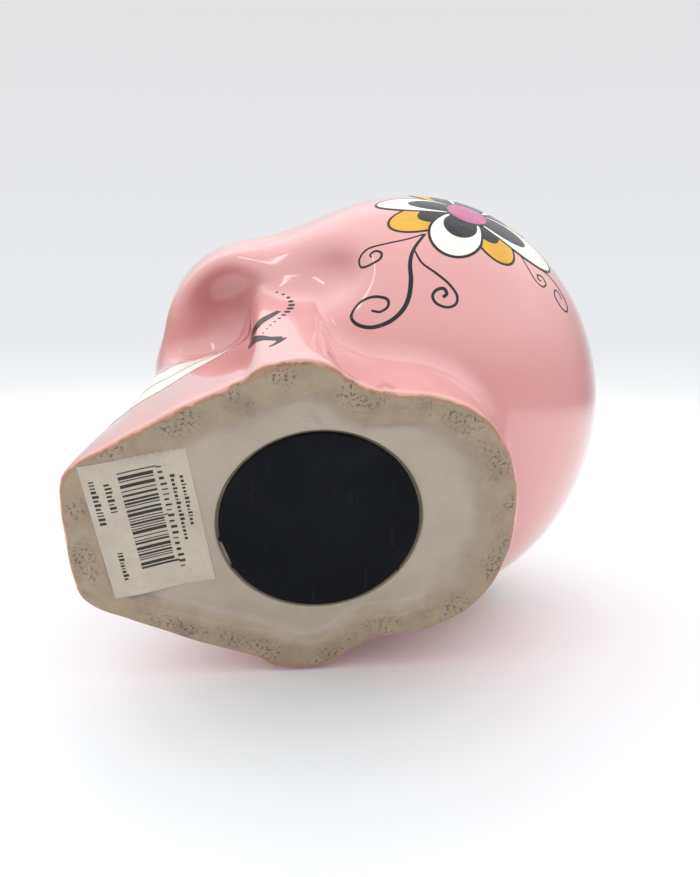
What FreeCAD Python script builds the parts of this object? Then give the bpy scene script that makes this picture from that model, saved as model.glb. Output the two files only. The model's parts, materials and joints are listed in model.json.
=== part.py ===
import FreeCAD, Part
import math
import os

# A glazed earthenware money bank in the shape of a skull: one slip-cast hollow shell with a
# coin slot in the crown, a round rubber stopper in the base and a paper label stuck beside it.
# Frame: +Z up, the face looks along -Y, the skull stands on its base rim at z = 0, and the
# origin is under the middle of the box round the whole skull.

V = FreeCAD.Vector
doc = FreeCAD.newDocument("skull_bank")

# ------------------------------------------------------------------ driving dimensions (mm)

DIMENSIONS = [
    ("skull_width", 129.4, "over the sides of the cranium"),
    ("skull_depth", 152.4, "chin to back of the head"),
    ("skull_height", 123.8, "base rim to crown"),
    ("wall", 4.6, "thickness of the cast shell"),
    ("floor_thickness", 5.8, "clay between the sunk base and the hollow inside"),
    ("rim_width", 9.3, "flat rim left round the sunk base"),
    ("recess_depth", 2.2, "how far the base is sunk inside the rim"),
    ("recess_slope", 4.5, "width of the slope from the rim down to the sunk base"),
    ("slot_length", 34.0, "coin slot, end to end"),
    ("slot_width", 4.8, "coin slot, across"),
    ("slot_setback", 24.0, "coin slot, behind the middle of the skull"),
    ("stopper_setback", 61.4, "middle of the stopper, behind the front of the chin"),
    ("hole_diameter", 43.0, "coin hole in the base"),
    ("flange_overlap", 3.5, "how far the stopper's disc reaches past the hole, each side"),
    ("flange_thickness", 1.5, "disc of the stopper"),
    ("flange_proud", 0.3, "disc standing out of the sunk base"),
    ("flange_gap", 0.25, "air round the disc in its seat"),
    ("plug_clearance", 0.06, "air between the ribs of the plug and the hole, each side"),
    ("plug_rib", 0.6, "height of each sealing rib on the plug"),
    ("plug_wall", 2.2, "wall of the hollow plug"),
    ("plug_taper", 0.8, "how much smaller in radius the plug is at its open end"),
    ("plug_length", 9.5, "plug, from the disc to its open end"),
    ("flat_depth", 0.7, "depth of the trimmed flat on the edge of the disc"),
    ("nick_diameter", 2.6, "finger nail nick in the edge of the disc"),
    ("label_length", 38.0, "paper label, along"),
    ("label_width", 25.0, "paper label, across"),
    ("label_thickness", 0.2, "paper label"),
    ("label_gap", 3.8, "base left between the label and the disc"),
    ("label_inset", 7.5, "least distance from the front of the chin to the label"),
    ("label_offset", 2.7, "middle of the label, to the skull's left"),
    ("label_turn", -6.5, "turn of the label about Z, degrees"),
    ("land_depth", 0.35, "how far the chin end of the rim is relieved for the label"),
    ("land_margin", 0.4, "land left round the label"),
    ("bed_clearance", 0.05, "extra depth of the label's bed where it crosses the sunk base"),
]

sheet = doc.addObject("Spreadsheet::Sheet", "sizes")
for row, (alias, value, meaning) in enumerate(DIMENSIONS, start=1):
    sheet.set("A%d" % row, alias)
    sheet.set("B%d" % row, str(value))
    sheet.set("C%d" % row, meaning)
    sheet.setAlias("B%d" % row, alias)
doc.recompute()


def size(alias):
    """A driving dimension, read from the sheet."""
    return float(sheet.get(alias))


# ------------------------------------------------------------------ the sculpted form
# The skull is sculpted as a distance-like function, below zero inside, in the proportions of
# a skull that is 129.4 wide, 152.4 deep and 123.8 high, measured from the stopper's axis and
# the base rim. Lumps are joined and hollows carved with rounded seams, as modelling clay is.

MODEL_WIDTH = 129.4
MODEL_DEPTH = 152.4
MODEL_HEIGHT = 123.8
MODEL_STOPPER = 61.4

# Half outline of the base rim, from the chin round the jaw corner to the nape: (x, y)
RIM_OUTLINE = [
    (0.0, -61.5), (10.0, -61.3), (17.0, -60.0), (20.8, -56.5), (24.3, -50.0), (29.0, -41.0),
    (33.3, -33.0), (36.7, -25.0), (40.0, -17.5), (43.2, -10.0), (44.5, -4.0), (43.0, 2.2),
    (39.2, 8.0), (36.4, 13.5), (35.3, 20.0), (34.2, 28.0), (31.8, 34.0), (28.0, 39.5),
    (22.0, 44.3), (16.0, 47.0), (9.0, 48.9), (0.0, 49.5),
]
RIM_MIDDLE_Y = -4.0


def outline_in_polar_form():
    """Angles from the chin and radii of the rim, with a few mirrored points past each end."""
    half = [(math.atan2(x, RIM_MIDDLE_Y - y), math.hypot(x, y - RIM_MIDDLE_Y)) for x, y in RIM_OUTLINE]
    before = [(-angle, radius) for angle, radius in half[3:0:-1]]
    after = [(2 * math.pi - angle, radius) for angle, radius in half[-2:-5:-1]]
    return before + half + after


RIM = outline_in_polar_form()
RIM_SLOPE = [0.0] + [
    (RIM[i + 1][1] - RIM[i - 1][1]) / (RIM[i + 1][0] - RIM[i - 1][0]) for i in range(1, len(RIM) - 1)
] + [0.0]


def rim_radius(angle):
    """Radius of the rim at an angle from the chin (0) to the nape (pi), as a smooth curve."""
    i = 0
    while i < len(RIM) - 2 and RIM[i + 1][0] < angle:
        i += 1
    span = RIM[i + 1][0] - RIM[i][0]
    u = (angle - RIM[i][0]) / span
    start = RIM[i][1] * (1 + 2 * u) * (1 - u) ** 2 + RIM_SLOPE[i] * span * u * (1 - u) ** 2
    end = RIM[i + 1][1] * u * u * (3 - 2 * u) + RIM_SLOPE[i + 1] * span * u * u * (u - 1)
    return start + end


def join(a, b, seam):
    """Union of two forms with a rounded seam."""
    h = min(1.0, max(0.0, 0.5 + 0.5 * (b - a) / seam))
    return b + (a - b) * h - seam * h * (1 - h)


def carve(a, b, seam):
    """Form a with form b taken out of it, with a rounded seam."""
    return -join(-a, b, seam)


def ellipsoid(x, y, z, centre, radii):
    a = (x - centre[0]) / radii[0]
    b = (y - centre[1]) / radii[1]
    c = (z - centre[2]) / radii[2]
    k0 = math.sqrt(a * a + b * b + c * c) + 1e-9
    k1 = math.sqrt((a / radii[0]) ** 2 + (b / radii[1]) ** 2 + (c / radii[2]) ** 2) + 1e-9
    return k0 * (k0 - 1) / k1


def block(x, y, z, centre, half, corner):
    """A box with rounded edges and corners."""
    qx = abs(x - centre[0]) - half[0] + corner
    qy = abs(y - centre[1]) - half[1] + corner
    qz = abs(z - centre[2]) - half[2] + corner
    outside = math.sqrt(max(qx, 0.0) ** 2 + max(qy, 0.0) ** 2 + max(qz, 0.0) ** 2)
    return outside + min(max(qx, qy, qz), 0.0) - corner


def shelf(x, y, z, centre, half, plan_corner, edge):
    """A flat block with wide corners in plan and a tighter rounding along its edges."""
    qx = abs(x - centre[0]) - half[0] + plan_corner
    qy = abs(y - centre[1]) - half[1] + plan_corner
    plan = math.hypot(max(qx, 0.0), max(qy, 0.0)) + min(max(qx, qy), 0.0) - plan_corner + edge
    qz = abs(z - centre[2]) - half[2] + edge
    return math.hypot(max(plan, 0.0), max(qz, 0.0)) + min(max(plan, qz), 0.0) - edge


def clamp(value):
    return min(1.0, max(0.0, value))


def jaw_and_neck(x, y, z):
    """The foot of the skull: the rim outline drawn upward, leaning in most over the chin."""
    angle = math.atan2(x, RIM_MIDDLE_Y - y)
    rise = max(z, 0.0)
    rise = 1.25 * rise * rise / (rise + 12.0)
    front = 0.5 + 0.5 * math.cos(math.pi * clamp((angle - 0.12) / 0.5))
    back = clamp((angle - 1.7) / 0.5)
    lean = 0.125 + 0.29 * front - 0.125 * back
    wall_form = 0.93 * (math.hypot(x, y - RIM_MIDDLE_Y) - rim_radius(angle) + lean * rise)
    top = 52.0 - 20.0 * clamp((angle - 1.6) / 0.4)
    return carve(wall_form, top - z, 6.0)


def skull_form(x, y, z):
    """The outside of the skull in model proportions."""
    x = math.sqrt(x * x + 1.0)
    cranium = ellipsoid(x, y, z, (0, 31, 68), (64.7, 60, 55))
    cheekbones = shelf(x, y, z, (0, 2, 71), (52, 43, 12.5), 28, 8)
    forehead = ellipsoid(x, y, z, (0, 4, 86), (45, 43, 34))
    upper_jaw = block(x, y, z, (0, -26, 52), (24, 17.5, 25), 9)
    jaw_corner = block(x, y, z, (31, -5.5, 28), (12.3, 9.5, 29.5), 4)
    under_cheekbone = ellipsoid(x, y, z, (44, -25.5, 57), (14, 11.5, 15))
    behind_jaw_corner = ellipsoid(x, y, z, (53, -3, 41.5), (9, 15.5, 11.5))
    eye_socket = ellipsoid(x, y, z, (20.5, -45, 84), (13.5, 15, 13))
    nostril = ellipsoid(x, y, z, (4.3, -47, 61), (4.6, 8, 8.5))

    form = join(cranium, cheekbones, 9)
    form = join(form, forehead, 14)
    form = join(form, upper_jaw, 8)
    form = join(form, jaw_and_neck(x, y, z), 4)
    form = carve(form, under_cheekbone, 7)
    form = carve(form, behind_jaw_corner, 8)
    form = join(form, jaw_corner, 2.5)
    form = carve(form, eye_socket, 5)
    return carve(form, nostril, 3)


# Scale from model proportions to the real sizes
scale_x = size("skull_width") / MODEL_WIDTH
scale_y = size("skull_depth") / MODEL_DEPTH
scale_z = size("skull_height") / MODEL_HEIGHT
scale_least = min(scale_x, scale_y, scale_z)
front_y = -size("skull_depth") / 2
stopper_y = front_y + size("stopper_setback")
model_zero_y = front_y + MODEL_STOPPER * scale_y

# Both skins are star-shaped seen from one point inside the head
HEART = (0.0, 5.0, 75.0)
BELOW_RIM = 12.0


def outer_form(x, y, z):
    """Outside of the skull, carried on a little below the rim, where it is trimmed flat."""
    return carve(skull_form(x, y, z), z + BELOW_RIM, 6.0)


cavity_floor_z = (size("recess_depth") + size("floor_thickness")) / scale_z


def cavity_form(x, y, z):
    """The hollow inside: the skull less its wall, closed by the thick floor."""
    inner = skull_form(x, y, z) + size("wall") / scale_least
    return carve(inner, z - cavity_floor_z, 7.0)


def reach(form, direction, far):
    """Distance from the heart of the head to the skin along a direction, by halving."""
    near = 0.0
    for _ in range(17):
        middle = (near + far) / 2
        inside = form(*[HEART[i] + direction[i] * middle for i in range(3)]) < 0
        near, far = (middle, far) if inside else (near, middle)
    return (near + far) / 2


def skin_surface(form, columns, rows):
    """A closed smooth surface whose control points lie on the form, in rows from pole to pole."""
    half_columns = columns // 2
    poles = [[None] * (rows + 1) for _ in range(columns)]
    for row in range(rows + 1):
        tilt = math.pi * row / rows
        for column in range(half_columns + 1):
            turn = math.pi * column / half_columns
            flat = math.sin(tilt)
            direction = (flat * math.sin(turn), -flat * math.cos(turn), -math.cos(tilt))
            r = reach(form, direction, 130.0)
            x, y, z = [HEART[i] + direction[i] * r for i in range(3)]
            point = (x * scale_x, model_zero_y + y * scale_y, z * scale_z)
            poles[column][row] = V(*point)
            if 0 < column < half_columns:
                poles[columns - column][row] = V(-point[0], point[1], point[2])
    for row, sign in ((0, -1), (rows, 1)):
        pole = V(0, poles[0][row].y, poles[0][row].z)
        for column in range(columns):
            poles[column][row] = pole
    around = list(range(columns + 1))
    along = list(range(rows - 1))
    surface = Part.BSplineSurface()
    surface.buildFromPolesMultsKnots(
        poles, [1] * len(around), [4] + [1] * (len(along) - 2) + [4], around, along,
        True, False, 3, 3,
    )
    return surface


def skin_solid(form, columns, rows):
    solid = Part.Solid(Part.Shell([skin_surface(form, columns, rows).toShape()]))
    if solid.Volume < 0:
        solid.reverse()
    return solid


def add(kind, name, **expressions):
    """A document object whose sizes are bound to the sheet; two underscores stand for a dot."""
    piece = doc.addObject(kind, name)
    for prop, expression in expressions.items():
        piece.setExpression(prop.replace("__", "."), expression)
    return piece


def rim_wire(inset, z):
    """Closed smooth wire inside the rim outline, a set distance in from it."""
    stations = 36
    points = []
    for station in range(stations):
        angle = 2 * math.pi * station / stations
        mirrored = min(angle, 2 * math.pi - angle)
        radius = rim_radius(mirrored)
        outline = V(math.sin(angle) * radius * scale_x, -math.cos(angle) * radius * scale_y, 0)
        inner = outline * (1 - inset / outline.Length)
        points.append(V(inner.x, model_zero_y + RIM_MIDDLE_Y * scale_y + inner.y, z))
    curve = Part.BSplineCurve()
    curve.interpolate(Points=points, PeriodicFlag=True)
    return Part.Wire([curve.toShape()])


# ------------------------------------------------------------------ skull_body

outer_skin = doc.addObject("Part::Feature", "outer_skin")
outer_skin.Shape = skin_solid(outer_form, 132, 90)

cavity = doc.addObject("Part::Feature", "cavity")
cavity.Shape = skin_solid(cavity_form, 68, 46)

# Everything below the rim is trimmed off, so that the skull stands flat
TRIM = 30
base_trim = add(
    "Part::Box", "base_trim",
    Length="sizes.skull_width * 1.2", Width="sizes.skull_depth * 1.2", Height="%d" % TRIM,
    Placement__Base__x="-sizes.skull_width * 0.6", Placement__Base__y="-sizes.skull_depth * 0.6",
    Placement__Base__z="-%d" % TRIM,
)

# The sunk base, with a sloping edge all round
recess_depth = size("recess_depth")
recess = doc.addObject("Part::Feature", "recess")
recess.Shape = Part.makeLoft([
    rim_wire(size("rim_width") - size("recess_slope"), -recess_depth),
    rim_wire(size("rim_width") + size("recess_slope"), recess_depth),
], True, True)

# Seat and hole for the stopper
seat_top = "(sizes.recess_depth - sizes.flange_proud + sizes.flange_thickness)"
stopper_place = "(sizes.stopper_setback - sizes.skull_depth / 2)"
disc_radius = "(sizes.hole_diameter / 2 + sizes.flange_overlap)"

# The label is never wider than the room on the chin, less the corner it would overhang
chin_room = "(sizes.stopper_setback - " + disc_radius + " - sizes.label_gap - sizes.label_inset)"
label_across = "min(sizes.label_width; " + chin_room + ")"
label_advance = "(" + disc_radius + " + sizes.label_gap + " + label_across + " / 2)"
seat = add(
    "Part::Cylinder", "seat",
    Radius=disc_radius + " + sizes.flange_gap", Height=seat_top,
    Placement__Base__y=stopper_place,
)
hole = add(
    "Part::Cylinder", "coin_hole",
    Radius="sizes.hole_diameter / 2",
    Height="sizes.recess_depth + sizes.floor_thickness + 2 * sizes.wall",
    Placement__Base__y=stopper_place,
)

# Coin slot through the back of the crown, with round ends
slot_foot = "sizes.skull_height * 0.75"
slot_height = "sizes.skull_height * 0.5"
slot_middle = add(
    "Part::Box", "slot_middle",
    Length="sizes.slot_length - sizes.slot_width", Width="sizes.slot_width", Height=slot_height,
    Placement__Base__x="(sizes.slot_width - sizes.slot_length) / 2",
    Placement__Base__y="sizes.slot_setback - sizes.slot_width / 2", Placement__Base__z=slot_foot,
)
slot_ends = []
for side, sign in (("left", ""), ("right", "-")):
    slot_ends.append(add(
        "Part::Cylinder", "slot_end_" + side,
        Radius="sizes.slot_width / 2", Height=slot_height,
        Placement__Base__x=sign + "(sizes.slot_length - sizes.slot_width) / 2",
        Placement__Base__y="sizes.slot_setback", Placement__Base__z=slot_foot,
    ))
slot = doc.addObject("Part::MultiFuse", "coin_slot")
slot.Shapes = [slot_middle] + slot_ends

# ------------------------------------------------------------------ barcode_label
# A strip of paper that lies on the relieved chin end of the rim, dips into the sunk base and
# lies flat again. Its bed in the clay has the same profile on the rim, so the two meet face to
# face there, and runs a hair deeper than the sunk base behind it.

land_depth = size("land_depth")
disc_edge = size("hole_diameter") / 2 + size("flange_overlap")
chin_room_mm = size("stopper_setback") - disc_edge - size("label_gap") - size("label_inset")
label_half = min(size("label_width"), chin_room_mm) / 2
dip_start = -label_half * 0.60
dip_end = label_half * 0.12


def strip(name, length, glued, lower):
    """A section, its glued side above, drawn along the label and turned and moved into place."""
    under = [(y, lower(z)) for y, z in reversed(glued)]
    corners = [V(0, y, z) for y, z in glued + under]
    profile = doc.addObject("Part::Feature", name + "_section")
    profile.Shape = Part.Face(Part.makePolygon(corners + corners[:1]))
    body = doc.addObject("Part::Extrusion", name)
    body.Base = profile
    body.DirMode = "Custom"
    body.Dir = V(1, 0, 0)
    body.Solid = True
    body.Symmetric = True
    body.setExpression("LengthFwd", length)
    body.setExpression("Placement.Base.x", "sizes.label_offset")
    body.setExpression("Placement.Base.y", stopper_place + " - " + label_advance)
    body.Placement.Rotation = FreeCAD.Rotation(V(0, 0, 1), size("label_turn"))
    return body


label = strip(
    "barcode_label", "sizes.label_length",
    [(-label_half, land_depth), (dip_start, land_depth), (dip_end, recess_depth), (label_half, recess_depth)],
    lambda z: z - size("label_thickness"),
)
label_bed = strip(
    "label_bed", "sizes.label_length + 2 * sizes.land_margin",
    [
        (-label_half - size("land_margin"), land_depth), (dip_start, land_depth),
        (dip_end, recess_depth + size("bed_clearance")),
        (label_half + size("land_margin"), recess_depth + size("bed_clearance")),
    ],
    lambda z: -1.0,
)

base_cutters = doc.addObject("Part::MultiFuse", "base_cutters")
base_cutters.Shapes = [base_trim, label_bed]
standing = doc.addObject("Part::Cut", "standing_skull")
standing.Base = outer_skin
standing.Tool = base_cutters
shell = doc.addObject("Part::Cut", "hollow_skull")
shell.Base = standing
shell.Tool = cavity
openings = doc.addObject("Part::MultiFuse", "openings")
openings.Shapes = [recess, seat, hole]
opened = doc.addObject("Part::Cut", "opened_base")
opened.Base = shell
opened.Tool = openings
skull = doc.addObject("Part::Cut", "skull_body")
skull.Base = opened
skull.Tool = slot

# ------------------------------------------------------------------ rubber_stopper
# A thin disc that lies in the seat, with a hollow tapered plug and two sealing ribs above it.
# It is built on its own axis with the disc's outer face at z = 0, then put in its place.

disc = add(
    "Part::Cylinder", "disc", Radius=disc_radius, Height="sizes.flange_thickness",
)
doc.recompute()
lower_edge = min(range(len(disc.Shape.Edges)), key=lambda i: disc.Shape.Edges[i].CenterOfMass.z)
rounded_disc = doc.addObject("Part::Fillet", "rounded_disc")
rounded_disc.Base = disc
edge_round = size("flange_thickness") * 0.3
rounded_disc.Edges = [(lower_edge + 1, edge_round, edge_round)]

plug_radius = "(sizes.hole_diameter / 2 - sizes.plug_clearance - sizes.plug_rib)"
plug_end_radius = "(" + plug_radius + " - sizes.plug_taper)"
plug = add(
    "Part::Cone", "plug",
    Radius1=plug_radius, Radius2=plug_end_radius, Height="sizes.plug_length",
    Placement__Base__z="sizes.flange_thickness",
)
plug_hollow = add(
    "Part::Cone", "plug_hollow",
    Radius1=plug_radius + " - sizes.plug_wall",
    Radius2=plug_end_radius + " - sizes.plug_wall",
    Height="sizes.plug_length",
    Placement__Base__z="sizes.flange_thickness",
)
ribs = []
for number, share in ((1, 0.17), (2, 0.37)):
    ribs.append(add(
        "Part::Torus", "rib_%d" % number,
        Radius1=plug_radius, Radius2="sizes.plug_rib",
        Placement__Base__z="sizes.flange_thickness + sizes.plug_length * %g" % share,
    ))
moulding = doc.addObject("Part::MultiFuse", "moulding")
moulding.Shapes = [rounded_disc, plug] + ribs

# The moulding flat and the finger nail nick on the edge of the disc
FLAT_TURN = -104.0
NICK_TURN = 122.0
flat = add(
    "Part::Box", "flat_cutter",
    Length=disc_radius + " / 2", Width=disc_radius, Height="sizes.flange_thickness",
)
turn = FreeCAD.Rotation(V(0, 0, 1), FLAT_TURN)
corner = V(disc_edge - size("flat_depth"), -disc_edge / 2, 0)
flat.Placement = FreeCAD.Placement(turn.multVec(corner), turn)
nick = add(
    "Part::Cylinder", "nick_cutter",
    Radius="sizes.nick_diameter / 2", Height="sizes.flange_thickness",
)
nick_reach = V(disc_edge + size("nick_diameter") * 0.2, 0, 0)
nick.Placement.Base = FreeCAD.Rotation(V(0, 0, 1), NICK_TURN).multVec(nick_reach)
cutters = doc.addObject("Part::MultiFuse", "stopper_cutters")
cutters.Shapes = [plug_hollow, flat, nick]
stopper = doc.addObject("Part::Cut", "rubber_stopper")
stopper.Base = moulding
stopper.Tool = cutters
stopper.setExpression("Placement.Base.y", stopper_place)
stopper.setExpression("Placement.Base.z", "sizes.recess_depth - sizes.flange_proud")

# ------------------------------------------------------------------ check and write

doc.recompute()
for thing in doc.Objects:
    if {"Invalid", "Error"} & set(thing.State):
        raise RuntimeError("failed: " + thing.Label)

PIECES = [skull, stopper, label]
for piece in PIECES:
    shape = piece.Shape
    if shape.isNull() or not shape.isValid() or len(shape.Solids) != 1:
        raise RuntimeError("bad shape: " + piece.Label)

os.makedirs("parts", exist_ok=True)
for piece in PIECES:
    box = piece.Shape.BoundBox
    piece.Shape.exportStep("parts/%s.step" % piece.Label)
    print("%-16s %8.0f mm3  x %.2f..%.2f  y %.2f..%.2f  z %.2f..%.2f" % (
        piece.Label, piece.Shape.Volume, box.XMin, box.XMax, box.YMin, box.YMax, box.ZMin, box.ZMax))
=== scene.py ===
import json
import math
import bpy
import bmesh
import numpy as np
from mathutils import Matrix, Vector, noise

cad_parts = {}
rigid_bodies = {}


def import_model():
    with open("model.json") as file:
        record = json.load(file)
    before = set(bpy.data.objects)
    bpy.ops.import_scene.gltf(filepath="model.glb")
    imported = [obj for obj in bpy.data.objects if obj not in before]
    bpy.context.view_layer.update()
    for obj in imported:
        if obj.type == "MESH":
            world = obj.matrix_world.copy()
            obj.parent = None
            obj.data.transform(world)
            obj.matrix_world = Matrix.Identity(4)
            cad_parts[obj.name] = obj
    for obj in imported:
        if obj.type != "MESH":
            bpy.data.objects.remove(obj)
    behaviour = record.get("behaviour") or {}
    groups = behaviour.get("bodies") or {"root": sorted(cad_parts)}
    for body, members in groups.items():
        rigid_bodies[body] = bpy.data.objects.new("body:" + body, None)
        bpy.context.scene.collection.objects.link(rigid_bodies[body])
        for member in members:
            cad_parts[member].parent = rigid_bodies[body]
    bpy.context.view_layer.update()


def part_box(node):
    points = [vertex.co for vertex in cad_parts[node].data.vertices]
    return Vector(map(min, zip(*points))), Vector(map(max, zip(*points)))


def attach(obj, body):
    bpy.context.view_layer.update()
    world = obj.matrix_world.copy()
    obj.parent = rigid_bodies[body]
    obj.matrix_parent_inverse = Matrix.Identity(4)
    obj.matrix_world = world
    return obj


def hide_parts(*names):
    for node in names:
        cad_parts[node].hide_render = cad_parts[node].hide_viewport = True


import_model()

# ------------------------------------------------------------------ the skull shell
# One hollow earthenware shell, slip-cast in a two-part mould, bisque fired, dipped in pink
# glaze and wiped bare on the base. It is drawn in millimetres about the axis of the stopper,
# with z = 0 on the base rim and the face towards -y, and all of it comes from one sculpted form.

MM = 0.001
stopper_low, stopper_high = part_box("rubber_stopper")
axis_y = (stopper_low[1] + stopper_high[1]) / 2

WALL = 4.6
RECESS_DEPTH = 2.2
SEAT_DEPTH = 3.4
FLOOR_TOP = 8.0
HOLE_RADIUS = 21.5
SEAT_RADIUS = 25.25
LIP_WIDTH = 0.8
SLOT_Y = 38.8
SLOT_LENGTH = 34.0
SLOT_WIDTH = 4.8

RIM_OUTLINE = [
    (0.0, -61.5), (10.0, -61.3), (17.0, -60.0), (20.8, -56.5), (24.3, -50.0), (29.0, -41.0),
    (33.3, -33.0), (36.7, -25.0), (40.0, -17.5), (43.2, -10.0), (44.5, -4.0), (43.0, 2.2),
    (39.2, 8.0), (36.4, 13.5), (35.3, 20.0), (34.2, 28.0), (31.8, 34.0), (28.0, 39.5),
    (22.0, 44.3), (16.0, 47.0), (9.0, 48.9), (0.0, 49.5),
]
RIM_MIDDLE_Y = -4.0

for spare in [thing for thing in bpy.data.objects if thing.name in ("Cube", "Light", "Camera")]:
    bpy.data.objects.remove(spare)


def polar_outline(middle_y):
    """The rim as angles from the chin and radii, carried a little past each end."""
    half = np.array([(math.atan2(x, middle_y - y), math.hypot(x, y - middle_y)) for x, y in RIM_OUTLINE])
    before = half[3:0:-1] * (-1, 1)
    after = half[-2:-5:-1] * (-1, 1) + (2 * math.pi, 0)
    points = np.concatenate([before, half, after])
    slope = np.zeros(len(points))
    slope[1:-1] = (points[2:, 1] - points[:-2, 1]) / (points[2:, 0] - points[:-2, 0])
    return points[:, 0], points[:, 1], slope


JAW_CURVE = polar_outline(RIM_MIDDLE_Y)
AXIS_CURVE = polar_outline(0.0)


def rim_radius(angle, curve):
    """Radius of the rim at an angle from the chin (0) to the nape (pi), as a smooth curve."""
    angles, radii, slope = curve
    i = np.clip(np.searchsorted(angles, angle) - 1, 0, len(angles) - 2)
    span = angles[i + 1] - angles[i]
    u = (angle - angles[i]) / span
    start = radii[i] * (1 + 2 * u) * (1 - u) ** 2 + slope[i] * span * u * (1 - u) ** 2
    return start + radii[i + 1] * u * u * (3 - 2 * u) + slope[i + 1] * span * u * u * (u - 1)


def join(a, b, seam):
    """Union of two forms with a rounded seam."""
    h = np.clip(0.5 + 0.5 * (b - a) / seam, 0, 1)
    return b + (a - b) * h - seam * h * (1 - h)


def carve(a, b, seam):
    """Form a with form b taken out of it."""
    return -join(-a, b, seam)


def ellipsoid(x, y, z, centre, radii):
    a, b, c = (x - centre[0]) / radii[0], (y - centre[1]) / radii[1], (z - centre[2]) / radii[2]
    k0 = np.sqrt(a * a + b * b + c * c) + 1e-9
    k1 = np.sqrt((a / radii[0]) ** 2 + (b / radii[1]) ** 2 + (c / radii[2]) ** 2) + 1e-9
    return k0 * (k0 - 1) / k1


def block(x, y, z, centre, half, corner):
    """A box with rounded edges and corners."""
    qx = np.abs(x - centre[0]) - half[0] + corner
    qy = np.abs(y - centre[1]) - half[1] + corner
    qz = np.abs(z - centre[2]) - half[2] + corner
    outside = np.sqrt(np.maximum(qx, 0) ** 2 + np.maximum(qy, 0) ** 2 + np.maximum(qz, 0) ** 2)
    return outside + np.minimum(np.maximum(np.maximum(qx, qy), qz), 0) - corner


def shelf(x, y, z, centre, half, plan_corner, edge):
    """A flat block with wide corners in plan and a tighter rounding along its edges."""
    qx = np.abs(x - centre[0]) - half[0] + plan_corner
    qy = np.abs(y - centre[1]) - half[1] + plan_corner
    plan = np.hypot(np.maximum(qx, 0), np.maximum(qy, 0)) + np.minimum(np.maximum(qx, qy), 0)
    plan = plan - plan_corner + edge
    qz = np.abs(z - centre[2]) - half[2] + edge
    return np.hypot(np.maximum(plan, 0), np.maximum(qz, 0)) + np.minimum(np.maximum(plan, qz), 0) - edge


def jaw_and_neck(x, y, z):
    """The foot of the skull: the rim drawn upward, leaning in most over the chin."""
    angle = np.arctan2(x, RIM_MIDDLE_Y - y)
    rise = np.maximum(z, 0)
    rise = 1.25 * rise * rise / (rise + 12)
    front = 0.5 + 0.5 * np.cos(math.pi * np.clip((angle - 0.12) / 0.5, 0, 1))
    back = np.clip((angle - 1.7) / 0.5, 0, 1)
    lean = 0.125 + 0.29 * front - 0.125 * back
    wall_form = 0.93 * (np.hypot(x, y - RIM_MIDDLE_Y) - rim_radius(angle, JAW_CURVE) + lean * rise)
    top = 52 - 20 * np.clip((angle - 1.6) / 0.4, 0, 1)
    return carve(wall_form, top - z, 6)


def skull_form(x, y, z, hollowed=True):
    """Below zero inside the skull, above zero outside it; with or without its hollows."""
    x = np.sqrt(x * x + 1)
    form = ellipsoid(x, y, z, (0, 31, 68), (64.7, 60, 55))
    cheekbones = shelf(x, y, z, (0, 2, 71), (52, 43, 12.5), 28, 8)
    forehead = ellipsoid(x, y, z, (0, 4, 86), (45, 43, 34))
    upper_jaw = block(x, y, z, (0, -26, 52), (24, 17.5, 25), 9)
    under_cheekbone = ellipsoid(x, y, z, (43, -27, 50.5), (13.5, 12, 12.5))
    behind_jaw_corner = ellipsoid(x, y, z, (53, -3, 41.5), (9, 15.5, 11.5))
    jaw_corner = block(x, y, z, (31, -5.5, 28), (12.3, 9.5, 29.5), 4)
    eye_socket = ellipsoid(x, y, z, (20.5, -45, 84), (13.5, 15, 13))
    nostril = ellipsoid(x, y, z, (4.3, -47, 61), (4.6, 8, 8.5))
    form = join(form, cheekbones, 9)
    form = join(form, forehead, 14)
    form = join(form, upper_jaw, 8)
    form = join(form, jaw_and_neck(x, y, z), 4)
    if not hollowed:
        return join(form, jaw_corner, 2.5)
    form = carve(form, under_cheekbone, 8)
    form = carve(form, behind_jaw_corner, 8)
    form = join(form, jaw_corner, 2.5)
    form = carve(form, eye_socket, 5)
    return carve(form, nostril, 3)


def cavity_form(x, y, z):
    """The hollow inside, a wall's thickness in from the skin and closed by the thick floor."""
    return carve(skull_form(x, y, z) + WALL, z - FLOOR_TOP, 7)


def skin_along(form, turn, tilt, heart=75.0):
    """Points where rays from inside the head, tilted from straight down, leave a form."""
    dx, dy, dz = np.sin(tilt) * np.sin(turn), -np.sin(tilt) * np.cos(turn), -np.cos(tilt)
    near, far = np.zeros_like(tilt), np.full_like(tilt, 130.0)
    for _ in range(22):
        middle = (near + far) / 2
        inside = form(dx * middle, dy * middle, heart + dz * middle) < 0
        near, far = np.where(inside, middle, near), np.where(inside, far, middle)
    return np.stack([dx * near, dy * near, heart + dz * near], -1)


def smooth_step(t):
    t = np.clip(t, 0, 1)
    return t * t * (3 - 2 * t)


# The paper label's place on the base, which the clay is relieved for
LABEL_MIDDLE = (2.7, -41.3)
LABEL_TURN = math.radians(-6.5)
LABEL_HALF = (19.0, 12.5)
LAND_DEPTH = 0.35


def on_label(x, y):
    """Coordinates along and across the label."""
    dx, dy = x - LABEL_MIDDLE[0], y - LABEL_MIDDLE[1]
    c, s = math.cos(LABEL_TURN), math.sin(LABEL_TURN)
    return dx * c + dy * s, dy * c - dx * s


def label_height(across):
    """Height of the glued side of the label, which dips from the rim into the sunk base."""
    return LAND_DEPTH + (RECESS_DEPTH - LAND_DEPTH) * smooth_step((across + 9.0) / 15.0)


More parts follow.
